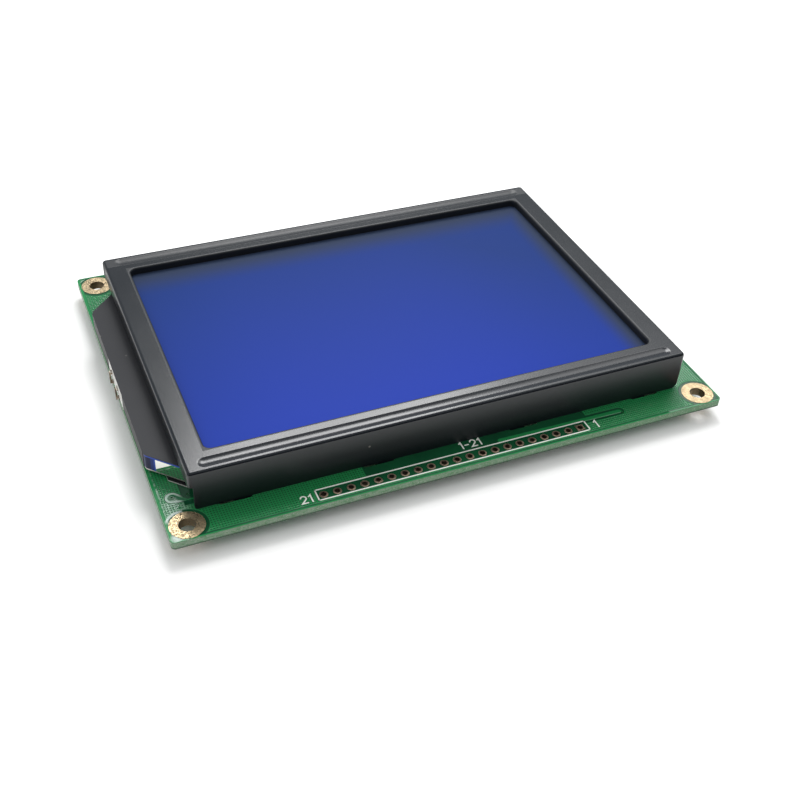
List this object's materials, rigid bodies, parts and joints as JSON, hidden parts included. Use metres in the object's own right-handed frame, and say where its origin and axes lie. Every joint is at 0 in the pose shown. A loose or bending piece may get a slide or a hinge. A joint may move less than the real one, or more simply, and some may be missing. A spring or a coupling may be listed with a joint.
{
  "type": "monochrome graphic display module",
  "caption": "Liquid-crystal graphic display module: folded black bezel with a blue window and an edge-lit backlight, clinched on a green circuit board with corner mounting holes.",
  "frame": {"origin": "middle of the four mounting holes, on the board's rear face", "axes": "+X along the header row towards hole 1, +Y away from the header row, +Z out of the display"},
  "size_m": [0.1089, 0.0815, 0.0122],
  "materials": {
    "bezel_paint": "satin black paint on folded steel",
    "board_mask": "glossy green solder mask",
    "plating": "pale gold plating",
    "insulator_film": "matt film",
    "backlight_steel": "satin steel",
    "foam": "matt black foam",
    "guide_acrylic": "clear polished acrylic",
    "white_laminate": "white solder mask",
    "led_resin": "white resin",
    "lead_copper": "tinned copper",
    "solder": "bright solder",
    "cover_tape": "dark grey tape",
    "diffuser": "matt white film",
    "display_film": "blue film with a soft sheen",
    "rear_film": "dark film",
    "cell_glass": "polished glass",
    "seal_resin": "cured resin",
    "elastomer": "grey silicone with a dark contact core",
    "package_resin": "matt black moulding",
    "lead_tin": "tin plate",
    "dome_epoxy": "black epoxy",
    "resistor_film": "black glaze",
    "capacitor_ceramic": "tan ceramic",
    "tantalum_resin": "yellow moulding",
    "resonator_resin": "brown resin"
  },
  "bodies": {
    "root": {"bezel": "bezel_paint", "circuit_board": "board_mask", "mounting_hole_plating": "plating", "header_hole_plating": "plating", "via_plating": "plating", "insulator_pad": "insulator_film", "backlight_rear_plate": "backlight_steel", "backlight_foam": "foam", "reflector_plate": "backlight_steel", "light_guide": "guide_acrylic", "led_board": "white_laminate", "led_packages": "led_resin", "backlight_leads": "lead_copper", "lead_solder": "solder", "light_cover": "cover_tape", "diffuser_film": "diffuser", "rear_polarizer": "rear_film", "rear_glass": "cell_glass", "cell_seal": "seal_resin", "front_glass": "cell_glass", "front_polarizer": "display_film", "elastomer_front": "elastomer", "elastomer_back": "elastomer", "elastomer_side": "elastomer", "controller_package": "package_resin", "controller_leads": "lead_tin", "memory_package": "package_resin", "memory_leads": "lead_tin", "amplifier_package": "package_resin", "amplifier_leads": "lead_tin", "transistor_package": "package_resin", "transistor_leads": "lead_tin", "driver_domes": "dome_epoxy", "resistor_bodies": "resistor_film", "resistor_ends": "lead_tin", "capacitor_bodies": "capacitor_ceramic", "capacitor_ends": "lead_tin", "tantalum_bodies": "tantalum_resin", "tantalum_terminals": "lead_tin", "resonator_body": "resonator_resin", "resonator_terminals": "lead_tin"}
  },
  "joints": []
}
